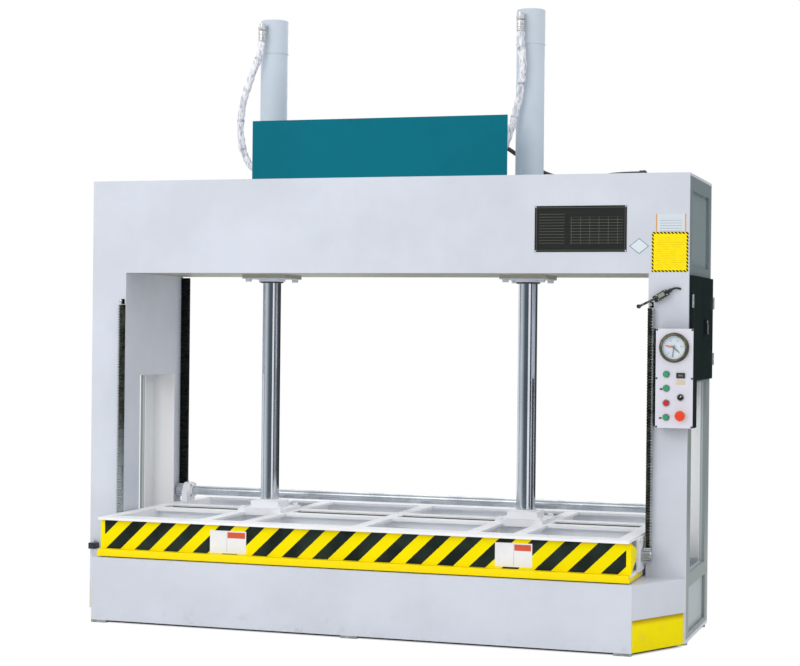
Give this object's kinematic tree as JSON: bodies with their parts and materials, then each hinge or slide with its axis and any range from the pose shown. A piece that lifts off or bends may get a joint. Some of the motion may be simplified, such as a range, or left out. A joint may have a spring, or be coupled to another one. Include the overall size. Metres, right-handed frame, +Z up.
{
  "type": "cold press",
  "caption": "Two-cylinder cold press: a portal frame over a low table, with a ribbed platen lifted on piston rods and kept level by racks and shafts.",
  "frame": {"origin": "on the floor, midway between the two piston rods, at the centre of the four anchor holes", "axes": "+Z up, +X to the operator's right along the table, front of the machine towards -Y"},
  "size_m": [2.899, 1.295, 2.843],
  "materials": {
    "frame_paint": "semi-gloss pale blue-grey enamel",
    "platen_paint": "semi-gloss pale grey enamel",
    "yellow_paint": "semi-gloss safety yellow",
    "striped_paint": "yellow with slanted black stripes",
    "teal_paint": "semi-gloss teal",
    "black_paint": "semi-gloss black",
    "panel_paint": "satin white",
    "tank_paint": "semi-gloss pale grey",
    "motor_paint": "semi-gloss grey blue",
    "hard_chrome": "ground and polished",
    "bare_steel": "turned or ground, oiled",
    "rack_steel": "dark oiled steel",
    "zinc_fitting": "zinc plated",
    "wrapped_hose": "hose wrapped in clear film",
    "black_plastic": "moulded",
    "bezel_metal": "satin ring",
    "green_plastic": "moulded",
    "red_plastic": "moulded",
    "gauge_metal": "dark enamel",
    "dial_face": "printed dial"
  },
  "bodies": {
    "frame": {"base_ribs": "frame_paint", "base_skirts": "frame_paint", "beam_bottom_plate": "frame_paint", "beam_top_plate": "frame_paint", "button_bezels": "bezel_metal", "cabinet_body": "black_paint", "cabinet_mounting_plate": "zinc_fitting", "column_foot_plates": "frame_paint", "conduit_fittings": "black_plastic", "control_box": "black_paint", "control_panel": "panel_paint", "corner_kick_plates": "yellow_paint", "counter_display": "black_plastic", "cylinder_barrels": "frame_paint", "cylinder_flanges": "frame_paint", "foot_pads": "bare_steel", "front_racks": "rack_steel", "gauge_case": "gauge_metal", "gauge_dial": "dial_face", "hose_fittings": "zinc_fitting", "left_column_inner_wall": "frame_paint", "left_column_outer_wall": "frame_paint", "left_cylinder_hose": "wrapped_hose", "limit_switches": "black_plastic", "motor_conduit": "black_plastic", "oil_tank": "tank_paint", "portal_front_plate": "frame_paint", "portal_rear_plate": "frame_paint", "pump_cover_panel": "teal_paint", "pump_motor": "motor_paint", "rear_racks": "rack_steel", "right_column_inner_wall": "frame_paint", "right_column_outer_wall": "frame_paint", "right_cylinder_hose": "wrapped_hose", "table_plate": "frame_paint", "valve_manifold": "bare_steel"},
    "platen": {"platen_plate": "yellow_paint", "platen_long_beams": "platen_paint", "platen_cross_beams": "platen_paint", "platen_end_channels": "platen_paint", "striped_cover": "striped_paint", "rod_feet": "platen_paint", "piston_rods": "hard_chrome", "shaft_bearings": "platen_paint"},
    "front_shaft": {"front_levelling_shaft": "bare_steel"},
    "rear_shaft": {"rear_levelling_shaft": "bare_steel"},
    "cabinet_front_leaf": {"cabinet_front_door": "black_paint"},
    "cabinet_rear_leaf": {"cabinet_rear_door": "black_paint"},
    "green_button_upper": {"green_button_upper": "green_plastic"},
    "green_button_middle": {"green_button_middle": "green_plastic"},
    "green_button_lower": {"green_button_lower": "green_plastic"},
    "red_button": {"red_button": "red_plastic"},
    "stop_button": {"stop_button": "red_plastic"},
    "selector_knob": {"selector_knob": "black_plastic"},
    "switch_lever": {"limit_switch_lever": "zinc_fitting"}
  },
  "joints": [
    {"name": "platen_lift", "type": "slide", "parent": "frame", "child": "platen", "axis": [0, 0, 1], "range_m": [0, 0.955]},
    {"name": "front_shaft_turn", "type": "hinge", "parent": "platen", "child": "front_shaft", "pos_m": [0, -0.3765, 0.395], "axis": [-1, 0, 0], "range_deg": [0, 1960]},
    {"name": "rear_shaft_turn", "type": "hinge", "parent": "platen", "child": "rear_shaft", "pos_m": [0, 0.2777, 0.537], "axis": [-1, 0, 0], "range_deg": [0, 1960]},
    {"name": "cabinet_front_hinge", "type": "hinge", "parent": "frame", "child": "cabinet_front_leaf", "pos_m": [1.446, -0.301, 1.38], "axis": [0, 0, -1], "range_deg": [0, 110]},
    {"name": "cabinet_rear_hinge", "type": "hinge", "parent": "frame", "child": "cabinet_rear_leaf", "pos_m": [1.446, 0.301, 1.38], "axis": [0, 0, 1], "range_deg": [0, 110]},
    {"name": "green_button_upper_press", "type": "slide", "parent": "frame", "child": "green_button_upper", "axis": [0, 1, 0], "range_m": [0, 0.004], "stiffness_N_per_m": 400},
    {"name": "green_button_middle_press", "type": "slide", "parent": "frame", "child": "green_button_middle", "axis": [0, 1, 0], "range_m": [0, 0.004], "stiffness_N_per_m": 400},
    {"name": "red_button_press", "type": "slide", "parent": "frame", "child": "red_button", "axis": [0, 1, 0], "range_m": [0, 0.004], "stiffness_N_per_m": 400},
    {"name": "green_button_lower_press", "type": "slide", "parent": "frame", "child": "green_button_lower", "axis": [0, 1, 0], "range_m": [0, 0.004], "stiffness_N_per_m": 400},
    {"name": "stop_button_press", "type": "slide", "parent": "frame", "child": "stop_button", "axis": [0, 1, 0], "range_m": [0, 0.004]},
    {"name": "selector_turn", "type": "hinge", "parent": "frame", "child": "selector_knob", "pos_m": [1.417, -0.4375, 1.084], "axis": [0, -1, 0], "range_deg": [0, 90]},
    {"name": "switch_lever_swing", "type": "hinge", "parent": "frame", "child": "switch_lever", "pos_m": [1.294, -0.3665, 1.50818], "axis": [0, 1, 0], "range_deg": [0, 35], "stiffness_Nm_per_rad": 2}
  ],
  "couplings": [
    {"joint": "front_shaft_turn", "follows": "platen_lift", "rad_per_m": 35.714},
    {"joint": "rear_shaft_turn", "follows": "platen_lift", "rad_per_m": 35.714}
  ]
}
